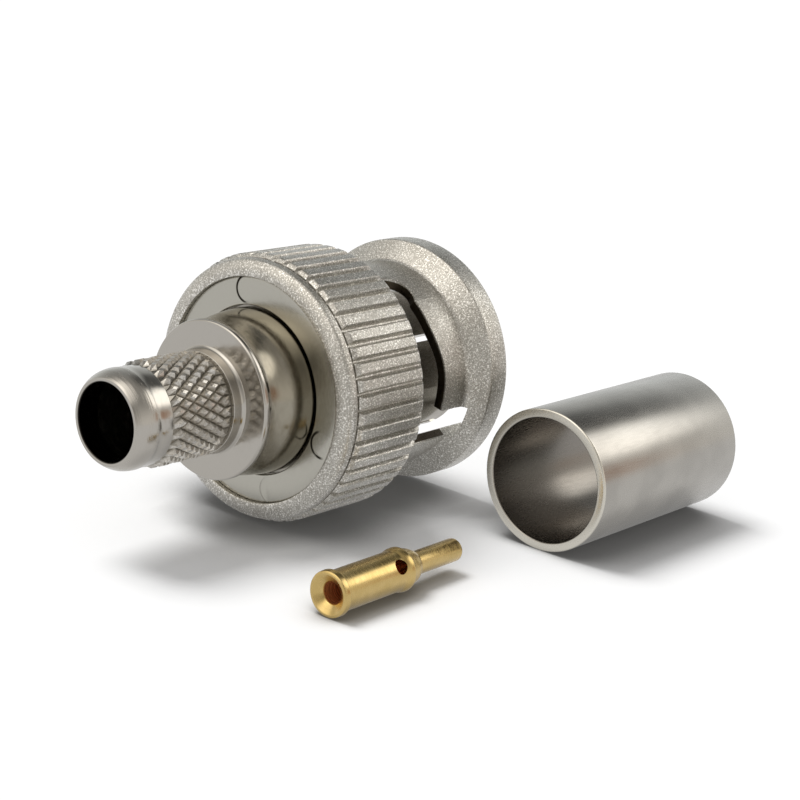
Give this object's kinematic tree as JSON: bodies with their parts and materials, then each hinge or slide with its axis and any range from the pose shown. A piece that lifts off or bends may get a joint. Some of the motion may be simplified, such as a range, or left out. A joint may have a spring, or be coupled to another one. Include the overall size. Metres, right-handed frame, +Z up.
{
  "type": "bnc connector",
  "caption": "Coaxial bayonet crimp plug with a toothed coupling nut, shown as supplied with its loose crimp ferrule and centre contact.",
  "frame": {"origin": "centre of the coupling nut's front face, on the plug's axis", "axes": "+X is the mating direction along the plug's axis, +Z is up, +Y completes the right-handed frame; the pieces lie on the plane z = -7.4 mm"},
  "size_m": [0.0331, 0.0247, 0.0148],
  "materials": {
    "nut_nickel": "bead-blasted nickel plate over cast metal",
    "washer_nickel": "satin nickel plate",
    "washer_brass": "plain rolled",
    "spring_steel": "plain spring strip",
    "body_nickel": "polished nickel plate over turned brass",
    "sleeve_nickel": "polished nickel plate",
    "white_insulator": "turned plastic",
    "gasket_rubber": "moulded rubber",
    "contact_gold": "gold plate over turned brass",
    "ferrule_nickel": "satin nickel plate over drawn tube"
  },
  "bodies": {
    "connector": {"plug_body": "body_nickel", "outer_contact": "sleeve_nickel", "insulator": "white_insulator", "gasket": "gasket_rubber", "wave_washer": "spring_steel", "crimp_ferrule": "ferrule_nickel", "centre_contact": "contact_gold"},
    "thrust_ring": {"thrust_washer": "washer_brass"},
    "nut": {"coupling_nut": "nut_nickel", "closing_washer": "washer_nickel"}
  },
  "joints": [
    {"name": "nut_slide", "type": "slide", "parent": "connector", "child": "thrust_ring", "axis": [1, 0, 0], "range_m": [0, 0.0014], "stiffness_N_per_m": 3000, "springref_m": -0.0005, "deforming": ["wave_washer"]},
    {"name": "nut_turn", "type": "hinge", "parent": "thrust_ring", "child": "nut", "pos_m": [-0.007, 0, 0], "axis": [1, 0, 0], "continuous": true}
  ]
}
